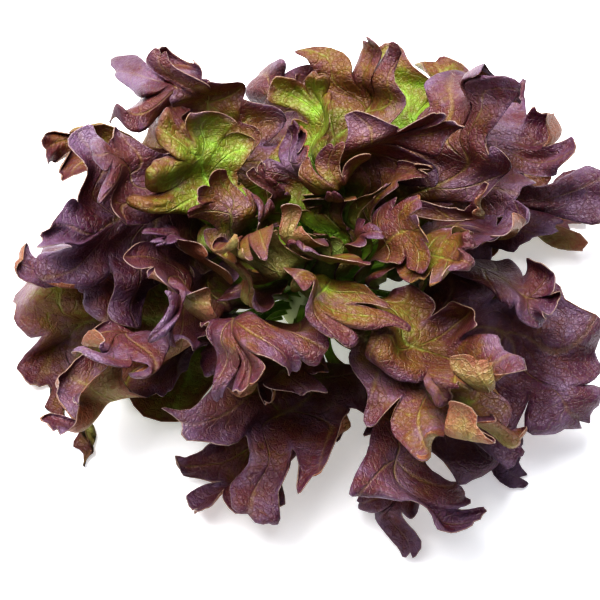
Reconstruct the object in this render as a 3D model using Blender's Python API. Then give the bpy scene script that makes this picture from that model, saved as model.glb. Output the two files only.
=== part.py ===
"""A red oak leaf lettuce, cut at the stem and standing on its cut face.

Metres, +Z up. The origin is the middle of the cut face. The head has one short stem and whorls of lobed
leaves. Every leaf is its own solid. It lies on a layer of the head, as a skin lies on an onion: layer 0
sprawls over the table and layer 1 stands in the heart. A leaf's lobes curl only as far as the room between
two layers, and the whole head is then ruffled by shears, which fold no layer into another.
"""

import math

import bmesh
import bpy
import numpy as np

# Whorls from the outside of the head to its heart: the leaves of each, the side lobes on each edge of a leaf,
# the rows of faces along a lobe and the columns from the midrib to the edge. Neighbours share their whorl
# unevenly, by up to this part of a leaf's even share.
WHORLS = (9, 9, 8, 8, 8, 7, 6, 4)
LOBES = (2, 2, 3, 3, 3, 3, 2, 2)
LOBE_ROWS = (4, 3, 3, 3, 3, 3, 3, 3)
COLUMNS = (3, 3, 3, 2, 2, 2, 2, 2)
HEART_WHORL = 6
UNEVEN = 0.30
SEED = 24

# Rows of faces on the tip lobe, in lobes from the tip, and on the stalk, as shares of its length.
TIP_ROWS = (0.0, 0.25)
STALK_ROWS = (0.5, 1.0)

# A layer's shape as polynomials in the layer number: the leaf's first slope and its fall, in degrees, and
# the length of its midrib. The stem's surface is where the layers start.
RISE = (8.0, 112.0, -32.0)
FALL = (60.0, -130.0, 90.0)
SPAN = (0.128, 0.020, -0.112)
STEM_RADIUS = (0.0175, -0.0020, -0.0125)
STEM_HEIGHT = (0.0080, 0.0500, -0.0120)
FALL_POWER = 1.6
STEM_GAP = 0.0018
STEM_ROUND, STEM_TIP, STEM_SIDES = 0.0032, 0.0012, 24

# Leaf lengths as shares of their layer's span. The head is fuller at its four corners, seen from above.
SHORTEST, LONGEST = 0.84, 1.08
CORNERS = 0.07

# A leaf's outline: shares of its midrib, and its lobes counted from the tip. The blade is as wide as its
# part of the arc round the head at this share of its length, times FILL, and SINUS is how much of that
# width is left between two lobes.
PETIOLE = 0.75
PETIOLE_SHARE = 0.26
MIDRIB_SHARE = 0.86
CROWDING = 1.5
ARC_SHARE = 0.7
FILL = 1.30
NARROWEST, WIDEST = 0.90, 1.25
SINUS = 0.34
ROUND_LOBE, SOFT_SINUS = 0.45, 0.003
BLADE_WIDTH = (0.34, 2.3, -2.0)
ROOT_SPREAD, WAIST = 0.92, 0.35
SWEEP_BASE, SWEEP_POWER = math.radians(10), 2.2
FAN = math.radians(5)
LOBE_SIZES = (0.82, 1.12)

# How a leaf is bent out of its layer: the trough along its midrib, the curl of each lobe towards its end,
# the hollow across each lobe, and the lean of the whole blade to one side.
VALLEY = math.radians(16)
CURL, CURL_POWER = math.radians(130), 3.5
LEAST_TURN, DOWNWARD = 0.35, 0.15
HEART_CALM = 0.3
CUP, CUPS = 0.60, (-0.6, 1.4)
TILT = 1.10
WANDER = 0.12
LIFT_SHARE = 0.88
CLEARANCE, LEAST_ROOM = 0.0013, 0.1

# Solid thickness: the thin blade, and the midrib at the foot of the longest leaf.
BLADE = 0.0009
MIDRIB, RIB_TAPER = 0.0034, 1.3

# The ruffles of the whole head: wave length, sideways shift, and the distance from the stem at which they
# fade in. The head also leans to the front as it rises, and its lowest leaves lie just clear of the table.
RUFFLES = ((0.150, 0.011), (0.110, 0.0095), (0.080, 0.008), (0.065, 0.007), (0.055, 0.006), (0.046, 0.005))
RUFFLE_START, RUFFLE_FULL = 0.022, 0.070
RUFFLE_CENTRE = np.array((0.0, 0.0, 0.025))
LEAN = -0.20
LEAN_START, LEAN_ROUND = 0.008, 0.015
FLOOR, FLOOR_ROUND, FLOOR_START = 0.0011, 0.0060, 0.025

PURPLE = (0.16, 0.05, 0.06, 1.0)
BRONZE = (0.26, 0.14, 0.05, 1.0)
GREEN = (0.28, 0.42, 0.09, 1.0)
WHITE = (0.72, 0.74, 0.52, 1.0)

POINTS, WEIGHTS = np.polynomial.legendre.leggauss(6)
POINTS, WEIGHTS = (POINTS + 1) / 2, WEIGHTS / 2


def power_sum(terms, x):
    """terms[0] + terms[1] x + terms[2] x squared."""
    return terms[0] + terms[1] * x + terms[2] * x * x


def soft_limit(x, limit):
    """x, eased off so that it never passes limit on either side."""
    return x / (1 + np.abs(x / limit) ** 3) ** (1 / 3)


def smooth_step(x):
    x = np.clip(x, 0, 1)
    return x * x * (3 - 2 * x)


def layer_point(along, layer):
    """(distance from the axis, height) of a point this far along a layer from the stem."""
    rise = np.radians(power_sum(RISE, layer))
    fall = np.radians(power_sum(FALL, layer))
    span = power_sum(SPAN, layer)
    radius = power_sum(STEM_RADIUS, layer)
    height = power_sum(STEM_HEIGHT, layer)
    for point, weight in zip(POINTS, WEIGHTS):
        slope = rise - fall * (along * point / span) ** FALL_POWER
        radius = radius + along * weight * np.cos(slope)
        height = height + along * weight * np.sin(slope)
    return radius, height


def layer_room(along, layer):
    """The distance between layers here, for one whole layer number."""
    step = 1e-4
    r0, z0 = layer_point(along, layer)
    r1, z1 = layer_point(along + step, layer)
    r2, z2 = layer_point(along, layer + step)
    return ((r1 - r0) * (z2 - z0) - (z1 - z0) * (r2 - r0)) / step**2


class Leaf:
    """One leaf's place in the head and its own shape."""

    def __init__(self, number, whorl, right, left, random):
        self.name = f"leaf_{number:02d}"
        self.whorl = whorl
        self.azimuth = (right + left) / 2
        self.half_sector = (left - right) / 2
        self.layer = (whorl + 0.5) / len(WHORLS)
        self.room = 0.5 / len(WHORLS)
        self.lobes = LOBES[whorl]
        self.stations = PETIOLE + self.lobes + 0.5
        plan = 1 - CORNERS * math.cos(4 * self.azimuth) * (1 - self.layer)
        self.length = power_sum(SPAN, self.layer) * plan * random.uniform(SHORTEST, LONGEST)
        arc = self.half_sector * layer_point(ARC_SHARE * self.length, self.layer)[0]
        self.reach = FILL * arc * random.uniform(NARROWEST, WIDEST)
        self.thick = MIDRIB * self.length / SPAN[0]
        turns = self.for_each_lobe(random, -1, 1)
        turns += np.sign(turns) * LEAST_TURN - DOWNWARD
        self.curls = CURL * (1 - HEART_CALM * self.layer**2) * turns
        self.lobe_sizes = self.for_each_lobe(random, *LOBE_SIZES)
        self.lobe_sizes[:, 0] = 1.0
        self.cups = CUP * self.for_each_lobe(random, *CUPS)
        self.tilt = TILT * random.uniform(-1, 1)
        self.wander = random.uniform(-WANDER, WANDER)

    def for_each_lobe(self, random, lowest, highest):
        """A random value for each lobe of the two edges, which share the tip."""
        values = random.uniform(lowest, highest, (2, self.lobes + 1))
        values[:, 0] = values[0, 0]
        return values


def by_lobe(values, side, phase):
    """The value of this side's lobes, blended smoothly from lobe to lobe. Lobe 0 is the tip."""
    total = np.zeros_like(phase)
    for lobe in range(values.shape[1]):
        away = np.clip(np.abs(phase - lobe), 0, 1)
        total += values[side, lobe] * np.cos(math.pi / 2 * away) ** 2
    return total


def leaf_points(leaf, station, across):
    """Points of the leaf's middle surface. station runs from 0 at the stem to leaf.stations at the tip, in
    lobes, and across from -1 at one edge to 1 at the other."""
    side = np.where(across < 0, 0, 1)
    out = np.abs(across)
    phase = leaf.stations - station
    on_blade = np.clip((station - PETIOLE) / (leaf.lobes + 0.5), 0, 1)
    on_petiole = np.clip(station / PETIOLE, 0, 1)

    # The outline: where each ray leaves the midrib, its direction and its length.
    root = PETIOLE_SHARE * on_petiole
    root = root + (MIDRIB_SHARE - PETIOLE_SHARE) * (1 - (1 - on_blade) ** CROWDING)
    sweep = SWEEP_BASE + (math.pi / 2 - SWEEP_BASE) * on_blade**SWEEP_POWER
    sweep = sweep - FAN * np.sin(2 * math.pi * phase) * (on_blade > 0)
    size = np.where(phase > leaf.lobes, 1.0, by_lobe(leaf.lobe_sizes, side, phase))
    lobed = SINUS + (1 - SINUS) * (np.cos(math.pi * phase) ** 2 + SOFT_SINUS) ** ROUND_LOBE
    blade = leaf.reach * power_sum(BLADE_WIDTH, on_blade) * size * lobed
    foot = leaf.half_sector * ROOT_SPREAD * power_sum(STEM_RADIUS, leaf.layer)
    join = leaf.reach * BLADE_WIDTH[0] * SINUS
    wing = foot + (join - foot) * on_petiole - WAIST * foot * np.sin(math.pi * on_petiole)
    reach = np.where(on_blade > 0, blade, wing)

    # The ray's curl out of the layer, summed up from the midrib to this point.
    curl = by_lobe(leaf.curls, side, phase)
    flat = np.zeros_like(out)
    lift = np.zeros_like(out)
    for point, weight in zip(POINTS, WEIGHTS):
        here = out * point
        bend = VALLEY * (1 - here) * on_petiole + curl * here**CURL_POWER
        flat += weight * np.cos(bend)
        lift += weight * np.sin(bend)
    lift += by_lobe(leaf.cups, side, phase) * on_blade * np.sin(math.pi * phase) ** 2
    lift = (lift * out + leaf.tilt * across * np.cos(sweep) * smooth_step(3 * on_blade)) * reach
    flat *= reach * out

    # The layer and its sector, which hold the point clear of every other leaf.
    along = STEM_GAP + root * leaf.length + flat * np.sin(sweep)
    aside = np.sign(across) * flat * np.cos(sweep)
    thickness = layer_room(along, leaf.layer)
    room = np.maximum(leaf.room - CLEARANCE / np.maximum(thickness, 1e-3), LEAST_ROOM * leaf.room)
    layer = leaf.layer + LIFT_SHARE * soft_limit(lift / thickness, room)
    radius, height = layer_point(along, layer)
    clear = leaf.half_sector - 0.5 * CLEARANCE / radius
    azimuth = leaf.azimuth + soft_limit(aside / radius + leaf.wander * np.sin(math.pi * root), clear)
    return np.stack((radius * np.cos(azimuth), radius * np.sin(azimuth), height), axis=-1)


def make_ruffles(random):
    """Shears: (direction of the wave, direction of the shift across it, wave number, shift, turn)."""
    ruffles = []
    for length, shift in RUFFLES:
        wave = random.normal(size=3)
        wave /= np.linalg.norm(wave)
        across = np.cross(wave, random.normal(size=3))
        across /= np.linalg.norm(across)
        ruffles.append((wave, across, 2 * math.pi / length, shift, random.uniform(0, 2 * math.pi)))
    return ruffles


def lean_forward(points):
    """The points, moved to the front by a share of their height."""
    rise = np.maximum(points[..., 2] - LEAN_START, 0)
    points[..., 1] += LEAN * rise**2 / (rise + LEAN_ROUND)
    return points


def ruffle_head(points, ruffles):
    """The points after every shear of the head, with nothing below the table."""
    reach = np.linalg.norm(points - RUFFLE_CENTRE, axis=-1)
    share = smooth_step((reach - RUFFLE_START) / (RUFFLE_FULL - RUFFLE_START))[..., None]
    for wave, across, number, shift, turn in ruffles:
        points = points + share * across * (shift * np.sin(number * (points @ wave) + turn))[..., None]
    points = lean_forward(points)
    height = points[..., 2]
    eased = FLOOR + FLOOR_ROUND * np.logaddexp(0, (height - FLOOR) / FLOOR_ROUND)
    clear_of_stem = smooth_step((np.hypot(points[..., 0], points[..., 1]) - FLOOR_START) / FLOOR_START)
    points[..., 2] = height + clear_of_stem * (eased - height)
    return points


def material(name, colour, roughness):
    made = bpy.data.materials.new(name)
    made.use_nodes = True
    shader = made.node_tree.nodes["Principled BSDF"]
    shader.inputs["Base Color"].default_value = colour
    shader.inputs["Roughness"].default_value = roughness
    shader.inputs["Metallic"].default_value = 0.0
    return made


def row_stations(leaf):
    """The station of each row of faces, from the stem to the tip. A row lies in every hollow between lobes."""
    lobe_rows = LOBE_ROWS[leaf.whorl]
    blade = 0.5 + np.arange(leaf.lobes * lobe_rows + 1) / lobe_rows
    stalk = leaf.lobes + 0.5 + PETIOLE * np.array(STALK_ROWS)
    return leaf.stations - np.concatenate((TIP_ROWS, blade, stalk))[::-1]


def make_leaf(leaf, ruffles, finish):
    """Shapes a grid into the leaf: its rows run from one edge to the other, and its last row closes on the
    tip's own line."""
    rows = row_stations(leaf)
    mesh = bpy.data.meshes.new(leaf.name)
    shape = bmesh.new()
    bmesh.ops.create_grid(shape, x_segments=len(rows) - 1, y_segments=2 * COLUMNS[leaf.whorl], size=1.0)
    grid = np.array([vertex.co[:] for vertex in shape.verts])
    station = rows[np.round((grid[:, 0] + 1) / 2 * (len(rows) - 1)).astype(int)]
    across = grid[:, 1]
    points = ruffle_head(leaf_points(leaf, station, across), ruffles)
    rib = leaf.thick * (1 - station / leaf.stations) ** RIB_TAPER * (1 - np.abs(across)) ** 2
    layer = shape.verts.layers.deform.verify()
    for vertex, point, size in zip(shape.verts, points, BLADE + rib):
        vertex.co = point
        vertex[layer][0] = size / (2 * MIDRIB)
    bmesh.ops.remove_doubles(shape, verts=shape.verts, dist=1e-5)
    bmesh.ops.triangulate(shape, faces=shape.faces)
    shape.to_mesh(mesh)
    shape.free()
    made = bpy.data.objects.new(leaf.name, mesh)
    bpy.context.scene.collection.objects.link(made)
    made.vertex_groups.new(name="thickness")
    mesh.materials.append(finish)
    solid = made.modifiers.new("Blade", "SOLIDIFY")
    solid.thickness = 2 * MIDRIB
    solid.offset = 0.0
    solid.vertex_group = "thickness"
    solid.use_quality_normals = True
    mesh.shade_smooth()
    return made


def make_stem(finish):
    """Turns the stem's profile about its axis: the cut face, the side that the leaves grow from, the tip."""
    foot, rim = STEM_RADIUS[0] - STEM_ROUND, STEM_RADIUS[0] - STEM_ROUND / 3
    profile = [(0.0, 0.0), (foot, 0.0), (rim, STEM_ROUND)]
    for layer in np.linspace(0, 1, 9):
        profile.append((power_sum(STEM_RADIUS, layer), power_sum(STEM_HEIGHT, layer)))
    profile.append((0.0, power_sum(STEM_HEIGHT, 1.0) + STEM_TIP))
    shape = bmesh.new()
    vertices = [shape.verts.new((x, 0.0, z)) for x, z in profile]
    edges = [shape.edges.new(pair) for pair in zip(vertices, vertices[1:])]
    bmesh.ops.spin(
        shape,
        geom=vertices + edges,
        axis=(0, 0, 1),
        cent=(0, 0, 0),
        steps=STEM_SIDES,
        angle=2 * math.pi,
        use_merge=True,
    )
    bmesh.ops.remove_doubles(shape, verts=shape.verts, dist=1e-6)
    bmesh.ops.recalc_face_normals(shape, faces=shape.faces)
    for vertex in shape.verts:
        vertex.co = lean_forward(np.array(vertex.co[:]))
    mesh = bpy.data.meshes.new("stem")
    shape.to_mesh(mesh)
    shape.free()
    mesh.materials.append(finish)
    made = bpy.data.objects.new("stem", mesh)
    bpy.context.scene.collection.objects.link(made)
    return made


def make_head():
    random = np.random.default_rng(SEED)
    ruffles = make_ruffles(random)
    finishes = (material("purple_blade", PURPLE, 0.45), material("bronze_blade", BRONZE, 0.5))
    heart = material("heart_blade", GREEN, 0.5)
    make_stem(material("stem_flesh", WHITE, 0.6))
    number = 0
    for whorl, count in enumerate(WHORLS):
        even_share = 2 * math.pi / count
        start = random.uniform(0, 2 * math.pi)
        edges = start + even_share * (np.arange(count) + random.uniform(-UNEVEN, UNEVEN, count))
        for place in range(count):
            number += 1
            left = edges[place + 1] if place + 1 < count else edges[0] + 2 * math.pi
            leaf = Leaf(number, whorl, edges[place], left, random)
            finish = heart if whorl >= HEART_WHORL else finishes[number % 2]
            make_leaf(leaf, ruffles, finish)


def main():
    for old in list(bpy.data.objects):
        bpy.data.objects.remove(old)
    make_head()


main()
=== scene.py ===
"""The looks of a red oak leaf lettuce: fine lobed leaves with veins, the stem and the stage.

Metres, +Z up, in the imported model's own frame. Each leaf is shaped by the same layers, sectors and ruffles
as the solid that it replaces, so it lies where the solid lies. It has a scalloped edge, a thinner blade and
short creases that the solid is too coarse to hold.
"""

import math

import bmesh
import bpy
import numpy as np
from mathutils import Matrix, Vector


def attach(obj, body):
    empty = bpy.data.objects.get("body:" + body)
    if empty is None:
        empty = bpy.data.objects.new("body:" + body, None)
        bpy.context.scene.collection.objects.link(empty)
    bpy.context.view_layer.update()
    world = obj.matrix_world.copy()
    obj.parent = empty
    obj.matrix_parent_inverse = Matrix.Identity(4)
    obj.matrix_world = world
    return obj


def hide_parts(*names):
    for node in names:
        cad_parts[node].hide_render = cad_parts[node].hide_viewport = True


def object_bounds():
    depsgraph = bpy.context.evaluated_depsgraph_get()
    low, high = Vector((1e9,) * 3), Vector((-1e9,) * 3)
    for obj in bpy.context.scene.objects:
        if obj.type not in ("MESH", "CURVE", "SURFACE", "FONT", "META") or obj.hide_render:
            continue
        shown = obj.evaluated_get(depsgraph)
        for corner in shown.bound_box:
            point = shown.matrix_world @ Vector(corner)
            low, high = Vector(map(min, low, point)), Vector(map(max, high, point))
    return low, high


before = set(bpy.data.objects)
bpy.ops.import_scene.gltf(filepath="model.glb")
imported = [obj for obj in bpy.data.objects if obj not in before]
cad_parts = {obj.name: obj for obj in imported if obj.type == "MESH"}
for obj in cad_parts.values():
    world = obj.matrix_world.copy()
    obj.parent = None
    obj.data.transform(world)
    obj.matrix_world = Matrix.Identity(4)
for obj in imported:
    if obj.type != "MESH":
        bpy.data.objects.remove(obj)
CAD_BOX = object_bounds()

bl_info = {
    "name": "Oak leaf lettuce",
    "version": (1, 0, 0),
    "blender": (4, 5, 0),
    "location": "3D View > Sidebar > Lettuce",
    "description": "Dresses the solids of a red oak leaf lettuce with fine leaves, a stem and a stage",
    "category": "Add Mesh",
}

# The head's layers, sectors and leaf outlines, as the solids have them.
WHORLS = (9, 9, 8, 8, 8, 7, 6, 4)
LOBES = (2, 2, 3, 3, 3, 3, 2, 2)
UNEVEN = 0.30
SEED = 24
HEART_WHORL = 6
RISE = (8.0, 112.0, -32.0)
FALL = (60.0, -130.0, 90.0)
SPAN = (0.128, 0.020, -0.112)
STEM_RADIUS = (0.0175, -0.0020, -0.0125)
STEM_HEIGHT = (0.0080, 0.0500, -0.0120)
FALL_POWER = 1.6
STEM_GAP = 0.0018
STEM_ROUND, STEM_TIP = 0.0032, 0.0012
SHORTEST, LONGEST = 0.84, 1.08
CORNERS = 0.07
PETIOLE = 0.75
PETIOLE_SHARE = 0.26
MIDRIB_SHARE = 0.86
CROWDING = 1.5
ARC_SHARE = 0.7
FILL = 1.30
NARROWEST, WIDEST = 0.90, 1.25
SINUS = 0.34
ROUND_LOBE, SOFT_SINUS = 0.45, 0.003
BLADE_WIDTH = (0.34, 2.3, -2.0)
ROOT_SPREAD, WAIST = 0.92, 0.35
SWEEP_BASE, SWEEP_POWER = math.radians(10), 2.2
FAN = math.radians(5)
LOBE_SIZES = (0.82, 1.12)
VALLEY = math.radians(16)
CURL, CURL_POWER = math.radians(130), 3.5
LEAST_TURN, DOWNWARD = 0.35, 0.15
HEART_CALM = 0.3
CUP, CUPS = 0.60, (-0.6, 1.4)
TILT = 1.10
WANDER = 0.12
LIFT_SHARE = 0.88
CLEARANCE, LEAST_ROOM = 0.0013, 0.1
RIB_TAPER = 1.3
RUFFLES = ((0.150, 0.011), (0.110, 0.0095), (0.080, 0.008), (0.065, 0.007), (0.055, 0.006), (0.046, 0.005))
RUFFLE_START, RUFFLE_FULL = 0.022, 0.070
RUFFLE_CENTRE = np.array((0.0, 0.0, 0.025))
LEAN = -0.20
LEAN_START, LEAN_ROUND = 0.008, 0.015
FLOOR, FLOOR_ROUND, FLOOR_START = 0.0011, 0.0060, 0.025

# Short creases, which only the fine leaves hold: wave length and sideways shift.
CREASES = ((0.038, 0.005), (0.030, 0.0032), (0.022, 0.0018))

# The frill's two waves in half turns to a lobe, and the strength of the faster one. The scallops' second
# wave is slower and weaker than the first by these shares.
FRILL_SLOW, FRILL_FAST, FRILL_FAST_SHARE = 3, 5, 0.6
SCALLOP_SLOWER, SCALLOP_WEAKER = 0.61, 0.7

# Rows closer than this are one row, as at the tip. A side vein's ridge is this wide, in lobes.
MERGE = 1e-5
VEIN_WIDTH = 0.05

# Redness: how far from the heart the light begins to redden a leaf and over what distance it takes full hold,
# what it gives to any leaf and what more to the oldest, and how far one leaf departs from the next.
SHADED, TO_FULL_LIGHT = 0.022, 0.050
REDDEST_YOUNG, REDDER_WITH_AGE = 0.44, 0.30
REDNESS_RANGE = 0.28
LEAST_OWN, USUAL_OWN, MOST_OWN = -1.5, 0.25, 0.9

# Light that passes through a blade: its green parts, and the red parts of each kind of leaf.
GREEN_GLOW = (0.42, 0.52, 0.05)
RED_GLOWS = {
    "purple_leaf": (0.36, 0.06, 0.05),
    "bronze_leaf": (0.46, 0.15, 0.03),
    "heart_leaf": (0.50, 0.30, 0.05),
}

# The fine stem's rings and sides, and the angle past which its edges stay sharp.
STEM_RINGS, STEM_SIDES = 25, 72
SHARP = math.radians(40)

# The stage: half the floor's width, its distance below the head, and the lamps' sizes and places.
FLOOR_REACH, FLOOR_DROP = 3.0, 0.0002
KEY_SIZE, KEY_PLACE = 1.3, (-0.30, 0.20, 1.15)
GLEAM_SIZE, GLEAM_PLACE = 0.3, (0.10, 0.55, 0.95)
SKY_COLOUR = (0.82, 0.88, 1.0, 1.0)
FILM_WIDTH = 36.0

POINTS, WEIGHTS = np.polynomial.legendre.leggauss(6)
POINTS, WEIGHTS = (POINTS + 1) / 2, WEIGHTS / 2


def length(name, text, default):
    return bpy.props.FloatProperty(
        name=name, description=text, default=default, min=0.0, unit="LENGTH", precision=5
    )


def amount(name, text, default):
    return bpy.props.FloatProperty(name=name, description=text, default=default, min=0.0)


def colour(name, text, *default):
    return bpy.props.FloatVectorProperty(
        name=name, description=text, default=default, size=3, min=0.0, max=1.0, subtype="COLOR"
    )


class LETTUCE_PG_leaves(bpy.types.PropertyGroup):
    """Sizes of the fine leaves."""

    rows: bpy.props.IntProperty(name="Rows to a lobe", description="Faces along one lobe", default=22, min=6)
    columns: bpy.props.IntProperty(name="Columns", description="Faces from midrib to edge", default=16, min=4)
    blade: length("Blade", "Thickness of the blade at its edge", 0.0005)
    midrib: length("Midrib", "Added thickness at the foot of the longest midrib", 0.0034)
    side_vein: length("Side vein", "Added thickness at the foot of a lobe's vein", 0.0005)
    scallop: amount("Scallop depth", "Depth of the edge's scallops, as a share of the lobe's reach", 0.035)
    scallop_length: length("Scallop length", "Length of one scallop along the edge", 0.0055)
    frill: amount("Frill", "Share of the free room that the frilled edge uses", 1.0)


class LETTUCE_PG_colours(bpy.types.PropertyGroup):
    """Colours of the leaves and the stem."""

    heart: colour("Heart green", "Upper face where no light reached it", 0.26, 0.46, 0.045)
    olive: colour("Olive", "Upper face between green and red", 0.19, 0.195, 0.022)
    bronze: colour("Bronze", "Upper face that has begun to redden", 0.170, 0.074, 0.016)
    brown: colour("Red brown", "Upper face that is mostly red", 0.130, 0.034, 0.036)
    wine: colour("Wine", "Upper face in full light", 0.075, 0.014, 0.040)
    under_green: colour("Pale green", "Underside of the green parts", 0.34, 0.44, 0.11)
    under_olive: colour("Pale olive", "Underside between green and red", 0.28, 0.23, 0.07)
    under_rust: colour("Rust", "Underside of the red parts", 0.24, 0.085, 0.045)
    # Painted highlight: a lilac grey mixed into the upper face in clouds. It stands in for the sheen of light
    # on the reddest parts.
    lilac_highlight: colour("Bloom", "Waxy grey film on the reddest parts", 0.34, 0.25, 0.40)
    # Painted highlight: a thin pale line along the edge, standing in for light caught by the blade's
    # thickness.
    edge: colour("Edge", "Thin pale line along the leaf's edge", 0.66, 0.50, 0.30)
    vein: colour("Vein", "Midrib and side veins", 0.46, 0.42, 0.16)
    flesh: colour("Stem flesh", "Side of the stem", 0.60, 0.66, 0.36)
    cut: colour("Cut face", "Cut end of the stem, a little browned", 0.62, 0.50, 0.30)


class LETTUCE_PG_stage(bpy.types.PropertyGroup):
    """The camera, the lights and the floor."""

    elevation: bpy.props.FloatProperty(
        name="Elevation", description="Camera above the horizon", default=math.radians(56), subtype="ANGLE"
    )
    distance: length("Distance", "Camera to the middle of the head", 1.0)
    lens: bpy.props.FloatProperty(
        name="Lens", description="Focal length in millimetres", default=123.0, min=1.0
    )
    aim: bpy.props.FloatVectorProperty(
        name="Aim",
        description="Point at the middle of the picture",
        default=(-0.007, -0.0175, 0.035),
        unit="LENGTH",
    )
    floor: colour("Floor", "The pale floor", 0.95, 0.95, 0.96)
    floor_glow: amount("Floor glow", "The floor's own light, which softens the shadow", 0.3)
    sky: amount("Sky", "Strength of the light from all round", 0.36)
    key: amount("Key light", "Power of the large soft lamp", 29.0)
    gleam: amount("Gleam", "Power of the smaller lamp behind the head", 6.0)


class Shade:
    """A number or colour on its way through a material's nodes, with ordinary arithmetic."""

    def __init__(self, finish, socket):
        self.finish = finish
        self.socket = socket

    def output(self, name):
        return Shade(self.finish, self.socket.node.outputs[name])

    def maths(self, operation, *terms):
        return self.finish.node("Math", {"operation": operation}, dict(enumerate(terms)))

    def __add__(self, other):
        return self.maths("ADD", self, other)

    def __sub__(self, other):
        return self.maths("SUBTRACT", self, other)

    def __mul__(self, other):
        return self.maths("MULTIPLY", self, other)

    def __rsub__(self, other):
        return self.maths("SUBTRACT", other, self)

    def __abs__(self):
        return self.maths("ABSOLUTE", self)

    __radd__ = __add__
    __rmul__ = __mul__

    def to_nearest(self):
        """The distance to the nearest whole number."""
        return abs(self.maths("FRACT", self + 0.5) - 0.5)

    def greater_of(self, other):
        return self.maths("MAXIMUM", self, other)

    def fade(self, start, end):
        """0 at start and 1 at end, eased between them."""
        settings = {"interpolation_type": "SMOOTHSTEP"}
        return self.finish.node("MapRange", settings, {"Value": self, "From Min": start, "From Max": end})

    def line(self, width):
        """1 where this distance is 0, eased to 0 at width."""
        return 1 - self.fade(0.0, width)


class Finish:
    """A material under construction."""

    def __init__(self, name):
        self.material = bpy.data.materials.new(name)
        self.material.use_nodes = True
        self.tree = self.material.node_tree
        self.tree.nodes.clear()

    def node(self, kind, settings, inputs, output=0):
        """A new node: its kind, its settings, its sockets' values or links, and the output that is wanted."""
        made = self.tree.nodes.new("ShaderNode" + kind)
        for name, value in settings.items():
            if name == "stops":
                self.set_stops(made.color_ramp.elements, value)
            else:
                setattr(made, name, value)
        for key, value in inputs.items():
            if isinstance(value, Shade):
                self.tree.links.new(value.socket, made.inputs[key])
            else:
                made.inputs[key].default_value = value
        return Shade(self, made.outputs[output]) if made.outputs else None

    @staticmethod
    def set_stops(elements, stops):
        while len(elements) < len(stops):
            elements.new(0.5)
        for element, (position, shade) in zip(elements, stops):
            element.position = position
            element.color = (*shade, 1.0)

    def attribute(self, name):
        return self.node("Attribute", {"attribute_name": name}, {}, "Fac")

    def mix(self, factor, first, second):
        """first where factor is 0 and second where it is 1. Either may be a plain colour."""
        first, second = ((*x, 1.0) if isinstance(x, tuple) else x for x in (first, second))
        settings = {"data_type": "RGBA", "clamp_factor": True}
        return self.node("Mix", settings, {0: factor, 6: first, 7: second}, 2)

    def ramp(self, factor, stops):
        stops = [(position, tuple(shade)) for position, shade in stops]
        return self.node("ValToRGB", {"stops": stops}, {0: factor})

    def noise(self, place, scale, detail=2.0, roughness=0.5):
        inputs = {"Vector": place, "Scale": scale, "Detail": detail, "Roughness": roughness}
        return self.node("TexNoise", {}, inputs)

    def wear(self, shader):
        self.node("OutputMaterial", {}, {"Surface": shader})


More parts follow.
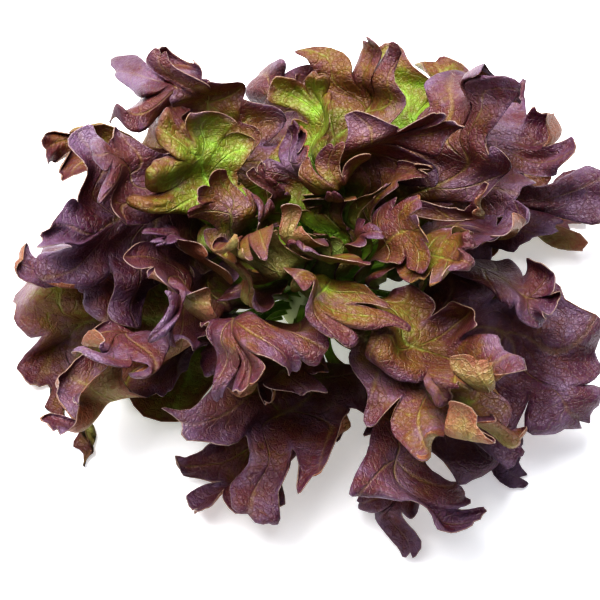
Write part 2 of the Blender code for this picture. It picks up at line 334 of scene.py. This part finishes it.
def leaf_finish(name, colours, glows):
    """A lettuce leaf. The mesh gives redness from 0 to 1, underside as 0 or 1, and a map of the blade whose
    first number counts lobes from the tip and whose second runs from the midrib to the edge."""
    finish = Finish(name)
    place = finish.node("TexCoord", {}, {}, "Object")
    blade = finish.node("SeparateXYZ", {}, {0: finish.node("UVMap", {"uv_map": "blade"}, {})})
    phase, out = blade, blade.output("Y")
    under = finish.attribute("underside")
    redness = finish.attribute("redness")

    # Veins: the midrib, one for each lobe, their branches, and a fine net between them.
    lobe = phase.to_nearest()
    wander = finish.noise(place, 90.0)
    midrib = out.line(0.05)
    lobe_vein = (lobe + (wander - 0.5) * 0.05).line(0.035) * (1 - out * 0.6)
    branch = (out * 6.0 - lobe * 5.0 + wander * 1.6).to_nearest().line(0.09) * (1 - out * 0.5)
    net_inputs = {"Vector": place, "Scale": 420.0, "Randomness": 1.0}
    net = finish.node("TexVoronoi", {"feature": "DISTANCE_TO_EDGE"}, net_inputs).line(0.14)
    veins = midrib.greater_of(lobe_vein).greater_of(branch * 0.5)

    # Patches: broad ones of ripeness, and a fine mottle. Green follows the veins.
    patch = finish.noise(place, 26.0, 3.0, 0.6) - 0.5
    mottle = finish.noise(place, 430.0, 4.0, 0.65) - 0.5
    speck = finish.noise(place, 130.0, 3.0, 0.6) - 0.5
    ripe = redness + patch * 0.70 + speck * 0.50 + mottle * 0.36 - veins * 0.14
    young = ((0.05, colours.heart), (0.27, colours.olive), (0.46, colours.bronze))
    upper = finish.ramp(ripe, (*young, (0.66, colours.brown), (0.92, colours.wine)))
    below = ((0.15, colours.under_green), (0.50, colours.under_olive), (0.85, colours.under_rust))
    lower = finish.ramp(ripe, below)

    # A painted sheen, a lilac grey that stands in for highlights, lies in clouds on the upper face. Veins and
    # edges are paler than the blade: the veins by their own colour, the edge by a painted highlight.
    # Where the painted lilac sheen lies: noise and ripeness, on the upper face only.
    sheen = (finish.noise(place, 40.0, 4.0, 0.65) + ripe * 0.25).fade(0.62, 0.90) * (1 - under) * 0.34
    body = finish.mix(sheen, upper, tuple(colours.lilac_highlight))
    body = finish.mix(under, body, lower)
    body = finish.mix(veins * 0.17 + net * 0.05, body, tuple(colours.vein))
    # Painted highlight: a thin pale line along the edge, where the blade's thickness would catch light.
    body = finish.mix(out.fade(0.984, 0.998) * 0.32, body, tuple(colours.edge))

    # Relief: veins sink into the upper face and stand out of the underside, with blisters between them.
    blister = finish.noise(place, 210.0, 3.0, 0.55)
    pucker = finish.noise(place, 95.0, 2.0, 0.5)
    relief = (veins * 0.8 + net * 0.25) * (under * 2.0 - 1.0) + blister * 0.9 + pucker * 1.5 + mottle * 0.9
    normal = finish.node("Bump", {}, {"Strength": 0.9, "Distance": 0.0010, "Height": relief})
    gloss = {"Base Color": body, "Roughness": 0.38 + mottle * 0.35, "Normal": normal}
    surface = finish.node("BsdfPrincipled", {}, gloss | {"Specular IOR Level": 0.55})
    green, red = (finish.node("BsdfTranslucent", {}, {"Color": (*glow, 1.0)}) for glow in glows)
    through = finish.node("MixShader", {}, {0: ripe.fade(0.25, 0.75), 1: green, 2: red})
    finish.wear(finish.node("MixShader", {}, {0: 0.26 - redness * 0.10, 1: surface, 2: through}))
    return finish.material


def stem_finish(colours):
    """Pale flesh, with rings in the cut face where the milky sap dried."""
    finish = Finish("fine_stem_flesh")
    place = finish.node("TexCoord", {}, {}, "Object")
    spot = finish.node("SeparateXYZ", {}, {0: place})
    rings = {"wave_type": "RINGS", "rings_direction": "Z"}
    ring = finish.node("TexWave", rings, {"Vector": place, "Scale": 95.0})
    fibre = finish.noise(place, 300.0, 4.0, 0.6)
    cut = spot.output("Z").line(0.0012)
    body = finish.mix(fibre * 0.5, tuple(colours.flesh), (0.42, 0.50, 0.20))
    sap = finish.mix(ring * 0.45 + fibre * 0.3, tuple(colours.cut), (0.36, 0.20, 0.09))
    body = finish.mix(cut, body, sap)
    normal = finish.node("Bump", {}, {"Strength": 0.6, "Distance": 0.0005, "Height": fibre})
    gloss = {"Base Color": body, "Roughness": 0.45 + fibre * 0.15, "Normal": normal}
    finish.wear(finish.node("BsdfPrincipled", {}, gloss))
    return finish.material


def power_sum(terms, x):
    """terms[0] + terms[1] x + terms[2] x squared."""
    return terms[0] + terms[1] * x + terms[2] * x * x


def soft_limit(x, limit):
    """x, eased off so that it never passes limit on either side."""
    return x / (1 + np.abs(x / limit) ** 3) ** (1 / 3)


def smooth_step(x):
    x = np.clip(x, 0, 1)
    return x * x * (3 - 2 * x)


def layer_point(along, layer):
    """(distance from the axis, height) of a point this far along a layer from the stem."""
    rise = np.radians(power_sum(RISE, layer))
    fall = np.radians(power_sum(FALL, layer))
    span = power_sum(SPAN, layer)
    radius = power_sum(STEM_RADIUS, layer)
    height = power_sum(STEM_HEIGHT, layer)
    for point, weight in zip(POINTS, WEIGHTS):
        slope = rise - fall * (along * point / span) ** FALL_POWER
        radius = radius + along * weight * np.cos(slope)
        height = height + along * weight * np.sin(slope)
    return radius, height


def layer_room(along, layer):
    """The distance between layers here, for one whole layer number."""
    step = 1e-4
    r0, z0 = layer_point(along, layer)
    r1, z1 = layer_point(along + step, layer)
    r2, z2 = layer_point(along, layer + step)
    return ((r1 - r0) * (z2 - z0) - (z1 - z0) * (r2 - r0)) / step**2


class Leaf:
    """One leaf's place in the head and its own shape."""

    def __init__(self, number, whorl, right, left, random):
        self.number = number
        self.name = f"leaf_{number:02d}"
        self.whorl = whorl
        self.slot = "heart_leaf" if whorl >= HEART_WHORL else ("purple_leaf", "bronze_leaf")[number % 2]
        self.azimuth = (right + left) / 2
        self.half_sector = (left - right) / 2
        self.layer = (whorl + 0.5) / len(WHORLS)
        self.room = 0.5 / len(WHORLS)
        self.lobes = LOBES[whorl]
        self.stations = PETIOLE + self.lobes + 0.5
        plan = 1 - CORNERS * math.cos(4 * self.azimuth) * (1 - self.layer)
        self.length = power_sum(SPAN, self.layer) * plan * random.uniform(SHORTEST, LONGEST)
        arc = self.half_sector * layer_point(ARC_SHARE * self.length, self.layer)[0]
        self.reach = FILL * arc * random.uniform(NARROWEST, WIDEST)
        turns = self.for_each_lobe(random, -1, 1)
        turns += np.sign(turns) * LEAST_TURN - DOWNWARD
        self.curls = CURL * (1 - HEART_CALM * self.layer**2) * turns
        self.lobe_sizes = self.for_each_lobe(random, *LOBE_SIZES)
        self.lobe_sizes[:, 0] = 1.0
        self.cups = CUP * self.for_each_lobe(random, *CUPS)
        self.tilt = TILT * random.uniform(-1, 1)
        self.wander = random.uniform(-WANDER, WANDER)

    def for_each_lobe(self, random, lowest, highest):
        """A random value for each lobe of the two edges, which share the tip."""
        values = random.uniform(lowest, highest, (2, self.lobes + 1))
        values[:, 0] = values[0, 0]
        return values


def by_lobe(values, side, phase):
    """The value of this side's lobes, blended smoothly from lobe to lobe. Lobe 0 is the tip."""
    total = np.zeros_like(phase)
    for lobe in range(values.shape[1]):
        away = np.clip(np.abs(phase - lobe), 0, 1)
        total += values[side, lobe] * np.cos(math.pi / 2 * away) ** 2
    return total


def frill_wave(leaf, side, phase, sweep):
    """The up and down of a leaf's edge. What differs between the two sides fades out at the tip."""
    split = side * np.cos(sweep)
    slow = np.sin(FRILL_SLOW * math.pi * phase + 9 * leaf.wander / WANDER + 2 * split)
    fast = np.sin(FRILL_FAST * math.pi * phase + 5 * leaf.tilt / TILT + split)
    return slow + FRILL_FAST_SHARE * fast


def scallops(leaf, side, phase, sweep, sizes):
    """The in and out of a leaf's edge, as a share of its reach."""
    pitch = leaf.length * (MIDRIB_SHARE - PETIOLE_SHARE) / (leaf.lobes + 0.5)
    number = 2 * math.pi * pitch / sizes.scallop_length
    split = side * np.cos(sweep)
    second = np.sin(SCALLOP_SLOWER * number * phase + 2 * split)
    return sizes.scallop * (np.sin(number * phase + 4 * split) + SCALLOP_WEAKER * second)


def leaf_points(leaf, station, across, sizes):
    """Points of the leaf's middle surface. station runs from 0 at the stem to leaf.stations at the tip, in
    lobes, and across from -1 at one edge to 1 at the other."""
    side = np.where(across < 0, 0, 1)
    out = np.abs(across)
    phase = leaf.stations - station
    on_blade = np.clip((station - PETIOLE) / (leaf.lobes + 0.5), 0, 1)
    on_petiole = np.clip(station / PETIOLE, 0, 1)

    # The outline: where each ray leaves the midrib, its direction and its length.
    root = PETIOLE_SHARE * on_petiole
    root = root + (MIDRIB_SHARE - PETIOLE_SHARE) * (1 - (1 - on_blade) ** CROWDING)
    sweep = SWEEP_BASE + (math.pi / 2 - SWEEP_BASE) * on_blade**SWEEP_POWER
    sweep = sweep - FAN * np.sin(2 * math.pi * phase) * (on_blade > 0)
    size = np.where(phase > leaf.lobes, 1.0, by_lobe(leaf.lobe_sizes, side, phase))
    lobed = SINUS + (1 - SINUS) * (np.cos(math.pi * phase) ** 2 + SOFT_SINUS) ** ROUND_LOBE
    lobed = lobed * (1 + scallops(leaf, side, phase, sweep, sizes) * smooth_step(4 * on_blade))
    blade = leaf.reach * power_sum(BLADE_WIDTH, on_blade) * size * lobed
    foot = leaf.half_sector * ROOT_SPREAD * power_sum(STEM_RADIUS, leaf.layer)
    join = leaf.reach * BLADE_WIDTH[0] * SINUS
    wing = foot + (join - foot) * on_petiole - WAIST * foot * np.sin(math.pi * on_petiole)
    reach = np.where(on_blade > 0, blade, wing)

    # The ray's curl out of the layer, summed up from the midrib to this point.
    curl = by_lobe(leaf.curls, side, phase)
    flat = np.zeros_like(out)
    lift = np.zeros_like(out)
    for point, weight in zip(POINTS, WEIGHTS):
        here = out * point
        bend = VALLEY * (1 - here) * on_petiole + curl * here**CURL_POWER
        flat += weight * np.cos(bend)
        lift += weight * np.sin(bend)
    lift += by_lobe(leaf.cups, side, phase) * on_blade * np.sin(math.pi * phase) ** 2
    lift = (lift * out + leaf.tilt * across * np.cos(sweep) * smooth_step(3 * on_blade)) * reach
    flat *= reach * out

    # The layer and its sector, which hold the point clear of every other leaf.
    along = STEM_GAP + root * leaf.length + flat * np.sin(sweep)
    aside = np.sign(across) * flat * np.cos(sweep)
    thickness = layer_room(along, leaf.layer)
    room = np.maximum(leaf.room - CLEARANCE / np.maximum(thickness, 1e-3), LEAST_ROOM * leaf.room)
    layer = leaf.layer + LIFT_SHARE * soft_limit(lift / thickness, room)
    frill = sizes.frill * out**2 * smooth_step(3 * on_blade) * frill_wave(leaf, side, phase, sweep)
    layer = layer + room * (1 - LIFT_SHARE) * frill
    radius, height = layer_point(along, layer)
    clear = leaf.half_sector - 0.5 * CLEARANCE / radius
    azimuth = leaf.azimuth + soft_limit(aside / radius + leaf.wander * np.sin(math.pi * root), clear)
    return np.stack((radius * np.cos(azimuth), radius * np.sin(azimuth), height), axis=-1)


def make_ruffles(random, waves):
    """Shears: (direction of the wave, direction of the shift across it, wave number, shift, turn)."""
    ruffles = []
    for wave_length, shift in waves:
        wave = random.normal(size=3)
        wave /= np.linalg.norm(wave)
        across = np.cross(wave, random.normal(size=3))
        across /= np.linalg.norm(across)
        ruffles.append((wave, across, 2 * math.pi / wave_length, shift, random.uniform(0, 2 * math.pi)))
    return ruffles


def lean_forward(points):
    """The points, moved to the front by a share of their height."""
    rise = np.maximum(points[..., 2] - LEAN_START, 0)
    points[..., 1] += LEAN * rise**2 / (rise + LEAN_ROUND)
    return points


def ruffle_head(points, ruffles):
    """The points after every shear of the head, with nothing below the table."""
    reach = np.linalg.norm(points - RUFFLE_CENTRE, axis=-1)
    fading = smooth_step((reach - RUFFLE_START) / (RUFFLE_FULL - RUFFLE_START))[..., None]
    for wave, across, number, shift, turn in ruffles:
        points = points + fading * across * (shift * np.sin(number * (points @ wave) + turn))[..., None]
    points = lean_forward(points)
    height = points[..., 2]
    eased = FLOOR + FLOOR_ROUND * np.logaddexp(0, (height - FLOOR) / FLOOR_ROUND)
    clear_of_stem = smooth_step((np.hypot(points[..., 0], points[..., 1]) - FLOOR_START) / FLOOR_START)
    points[..., 2] = height + clear_of_stem * (eased - height)
    return points


def plan_head():
    """Every leaf of the head in order, and its ruffles."""
    random = np.random.default_rng(SEED)
    ruffles = make_ruffles(random, RUFFLES)
    leaves = []
    for whorl, count in enumerate(WHORLS):
        even_share = 2 * math.pi / count
        start = random.uniform(0, 2 * math.pi)
        edges = start + even_share * (np.arange(count) + random.uniform(-UNEVEN, UNEVEN, count))
        for place in range(count):
            left = edges[place + 1] if place + 1 < count else edges[0] + 2 * math.pi
            leaves.append(Leaf(len(leaves) + 1, whorl, edges[place], left, random))
    ruffles += make_ruffles(np.random.default_rng(SEED + 1), CREASES)
    return leaves, ruffles


def redness_of(leaf, points, station, out):
    """How red the light has turned each point. The heart, the leaf stalks and some whole leaves stay green,
    and a leaf reddens towards its tip and its edge."""
    away = np.linalg.norm(points - RUFFLE_CENTRE, axis=-1)
    exposed = smooth_step((away - SHADED) / TO_FULL_LIGHT)
    age = 1 - leaf.layer**2
    along = station / leaf.stations
    random = np.random.default_rng(SEED + leaf.number)
    own = REDNESS_RANGE * random.triangular(LEAST_OWN, USUAL_OWN, MOST_OWN)
    lit = exposed * (REDDEST_YOUNG + REDDER_WITH_AGE * age + own)
    return lit + 0.24 * (along - 0.6) + 0.30 * (out**3 - 0.3)


def make_leaf(leaf, ruffles, sizes, finish):
    """Shapes a grid into the leaf and gives it its thickness. The grid's last row closes on the tip."""
    rows = round(leaf.stations * sizes.rows)
    shape = bmesh.new()
    bmesh.ops.create_grid(shape, x_segments=rows, y_segments=2 * sizes.columns, size=1.0)
    grid = np.array([vertex.co[:] for vertex in shape.verts])
    station = (grid[:, 0] + 1) / 2 * leaf.stations
    across, out = grid[:, 1], np.abs(grid[:, 1])
    phase = leaf.stations - station
    points = ruffle_head(leaf_points(leaf, station, across, sizes), ruffles)
    redness = redness_of(leaf, points, station, out)
    rib = sizes.midrib * leaf.length / SPAN[0] * (1 - station / leaf.stations) ** RIB_TAPER * (1 - out) ** 3
    vein = sizes.side_vein * np.exp(-(((phase - np.round(phase)) / VEIN_WIDTH) ** 2)) * (1 - out)
    thickness = sizes.blade + rib + vein * (phase < leaf.lobes + 0.5)
    weights = shape.verts.layers.deform.verify()
    red = shape.verts.layers.float.new("redness")
    blade = shape.loops.layers.uv.new("blade")
    for face in shape.faces:
        for loop in face.loops:
            loop[blade].uv = (phase[loop.vert.index], out[loop.vert.index])
    full = float(thickness.max())
    for vertex, point, thick, shade in zip(shape.verts, points, thickness, redness):
        vertex.co = point
        vertex[weights][0] = thick / full
        vertex[red] = shade
    bmesh.ops.remove_doubles(shape, verts=shape.verts, dist=MERGE)
    mesh = bpy.data.meshes.new("blank")
    shape.to_mesh(mesh)
    shape.free()
    blank = bpy.data.objects.new("blank", mesh)
    bpy.context.scene.collection.objects.link(blank)
    blank.vertex_groups.new(name="thickness")
    for _ in range(3):
        mesh.materials.append(finish)
    solid = blank.modifiers.new("Blade", "SOLIDIFY")
    solid.thickness = full
    solid.offset = 0.0
    solid.vertex_group = "thickness"
    solid.use_quality_normals = True
    solid.material_offset = 1
    solid.material_offset_rim = 2
    shown = bpy.data.meshes.new_from_object(blank.evaluated_get(bpy.context.evaluated_depsgraph_get()))
    bpy.data.objects.remove(blank)
    bpy.data.meshes.remove(mesh)
    return shown


def finish_leaf(leaf, shown, finish):
    """Marks the underside's faces and puts the leaf in its solid's place."""
    face = np.zeros(len(shown.polygons), np.int32)
    shown.polygons.foreach_get("material_index", face)
    underside = shown.attributes.new("underside", "FLOAT", "FACE")
    underside.data.foreach_set("value", (face == 1).astype(np.float32))
    shown.polygons.foreach_set("material_index", np.zeros_like(face))
    shown.materials.clear()
    shown.materials.append(finish)
    shown.shade_smooth()
    piece = bpy.data.objects.new("fine_" + leaf.name, shown)
    bpy.context.scene.collection.objects.link(piece)
    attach(piece, "root")
    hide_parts(leaf.name)
    return piece


def make_whorls(context, whorls):
    """Makes the leaves of these whorls."""
    sizes, colours = context.scene.lettuce_leaves, context.scene.lettuce_colours
    leaves, ruffles = plan_head()
    for leaf in leaves:
        if leaf.whorl in whorls:
            name = "fine_" + leaf.slot
            glows = (GREEN_GLOW, RED_GLOWS[leaf.slot])
            finish = bpy.data.materials.get(name) or leaf_finish(name, colours, glows)
            finish_leaf(leaf, make_leaf(leaf, ruffles, sizes, finish), finish)


class LETTUCE_OT_outer_leaves(bpy.types.Operator):
    """Makes the sprawling leaves of the three outer whorls"""

    bl_idname = "lettuce.outer_leaves"
    bl_label = "Outer leaves"

    def execute(self, context):
        make_whorls(context, (0, 1, 2))
        return {"FINISHED"}


class LETTUCE_OT_middle_leaves(bpy.types.Operator):
    """Makes the rising leaves of the three middle whorls"""

    bl_idname = "lettuce.middle_leaves"
    bl_label = "Middle leaves"

    def execute(self, context):
        make_whorls(context, (3, 4, 5))
        return {"FINISHED"}


class LETTUCE_OT_heart_leaves(bpy.types.Operator):
    """Makes the small upright leaves of the heart"""

    bl_idname = "lettuce.heart_leaves"
    bl_label = "Heart leaves"

    def execute(self, context):
        make_whorls(context, (6, 7))
        return {"FINISHED"}


class LETTUCE_OT_stem(bpy.types.Operator):
    """Turns the stem, with its cut face on the table and its tip in the heart"""

    bl_idname = "lettuce.stem"
    bl_label = "Stem"

    def execute(self, context):
        foot, rim = STEM_RADIUS[0] - STEM_ROUND, STEM_RADIUS[0] - STEM_ROUND / 3
        profile = [(0.0, 0.0), (foot / 2, 0.0), (foot, 0.0), (rim, STEM_ROUND)]
        for layer in np.linspace(0, 1, STEM_RINGS):
            profile.append((power_sum(STEM_RADIUS, layer), power_sum(STEM_HEIGHT, layer)))
        profile.append((0.0, power_sum(STEM_HEIGHT, 1.0) + STEM_TIP))
        shape = bmesh.new()
        vertices = [shape.verts.new((x, 0.0, z)) for x, z in profile]
        edges = [shape.edges.new(pair) for pair in zip(vertices, vertices[1:])]
        full = {"geom": vertices + edges, "axis": (0, 0, 1), "cent": (0, 0, 0), "angle": 2 * math.pi}
        bmesh.ops.spin(shape, steps=STEM_SIDES, use_merge=True, **full)
        bmesh.ops.remove_doubles(shape, verts=shape.verts, dist=1e-6)
        bmesh.ops.recalc_face_normals(shape, faces=shape.faces)
        for vertex in shape.verts:
            vertex.co = lean_forward(np.array(vertex.co[:]))
        mesh = bpy.data.meshes.new("fine_stem")
        shape.to_mesh(mesh)
        shape.free()
        mesh.shade_smooth()
        mesh.set_sharp_from_angle(angle=SHARP)
        mesh.materials.append(stem_finish(context.scene.lettuce_colours))
        piece = bpy.data.objects.new("fine_stem", mesh)
        context.scene.collection.objects.link(piece)
        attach(piece, "root")
        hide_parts("stem")
        return {"FINISHED"}


def add_lamp(name, size, place, power):
    """A round lamp that shines at the middle of the head's foot."""
    lamp = bpy.data.lights.new(name, "AREA")
    lamp.shape = "DISK"
    lamp.size = size
    lamp.energy = power
    made = bpy.data.objects.new(name, lamp)
    made.location = place
    made.rotation_euler = (-made.location).to_track_quat("-Z", "Y").to_euler()
    bpy.context.scene.collection.objects.link(made)


class LETTUCE_OT_stage(bpy.types.Operator):
    """Sets the camera, the soft lights and the pale floor"""

    bl_idname = "lettuce.stage"
    bl_label = "Stage"

    def execute(self, context):
        scene, stage = context.scene, context.scene.lettuce_stage
        scene.view_settings.view_transform = "Standard"
        scene.view_settings.look = "High Contrast"
        scene.world = bpy.data.worlds.new("sky")
        scene.world.use_nodes = True
        sky = scene.world.node_tree.nodes["Background"].inputs
        sky["Color"].default_value = SKY_COLOUR
        sky["Strength"].default_value = stage.sky

        shape = bmesh.new()
        bmesh.ops.create_grid(shape, x_segments=1, y_segments=1, size=FLOOR_REACH)
        mesh = bpy.data.meshes.new("floor")
        shape.to_mesh(mesh)
        shape.free()
        finish = Finish("floor")
        gloss = {"Base Color": (*stage.floor, 1.0), "Roughness": 0.7}
        gloss |= {"Emission Color": (*stage.floor, 1.0), "Emission Strength": stage.floor_glow}
        finish.wear(finish.node("BsdfPrincipled", {}, gloss))
        mesh.materials.append(finish.material)
        floor = bpy.data.objects.new("floor", mesh)
        floor.location.z = CAD_BOX[0].z - FLOOR_DROP
        scene.collection.objects.link(floor)

        add_lamp("key", KEY_SIZE, KEY_PLACE, stage.key)
        add_lamp("gleam", GLEAM_SIZE, GLEAM_PLACE, stage.gleam)

        view = bpy.data.cameras.new("camera")
        view.sensor_width = FILM_WIDTH
        view.lens = stage.lens
        camera = bpy.data.objects.new("camera", view)
        back = Vector((0.0, -math.cos(stage.elevation), math.sin(stage.elevation)))
        camera.location = Vector(stage.aim) + back * stage.distance
        camera.rotation_euler = (-back).to_track_quat("-Z", "Y").to_euler()
        scene.collection.objects.link(camera)
        scene.camera = camera
        return {"FINISHED"}


class LETTUCE_PT_panel(bpy.types.Panel):
    """Every step of the lettuce and the sizes and colours that it reads"""

    bl_idname = "LETTUCE_PT_panel"
    bl_label = "Oak leaf lettuce"
    bl_space_type = "VIEW_3D"
    bl_region_type = "UI"
    bl_category = "Lettuce"

    def draw(self, context):
        for step in STEPS:
            self.layout.operator(step.bl_idname)
        for name, group in GROUPS.items():
            box = self.layout.box()
            for setting in group.__annotations__:
                box.prop(getattr(context.scene, name), setting)


GROUPS = {
    "lettuce_leaves": LETTUCE_PG_leaves,
    "lettuce_colours": LETTUCE_PG_colours,
    "lettuce_stage": LETTUCE_PG_stage,
}
STEPS = (
    LETTUCE_OT_stem,
    LETTUCE_OT_outer_leaves,
    LETTUCE_OT_middle_leaves,
    LETTUCE_OT_heart_leaves,
    LETTUCE_OT_stage,
)


def register():
    for made in (*GROUPS.values(), *STEPS, LETTUCE_PT_panel):
        bpy.utils.register_class(made)
    for name, group in GROUPS.items():
        setattr(bpy.types.Scene, name, bpy.props.PointerProperty(type=group))


def unregister():
    for name in GROUPS:
        delattr(bpy.types.Scene, name)
    for made in reversed((*GROUPS.values(), *STEPS, LETTUCE_PT_panel)):
        bpy.utils.unregister_class(made)


def main():
    register()
    for step in STEPS:
        group, name = step.bl_idname.split(".")
        getattr(getattr(bpy.ops, group), name)()


if __name__ == "__main__":
    main()
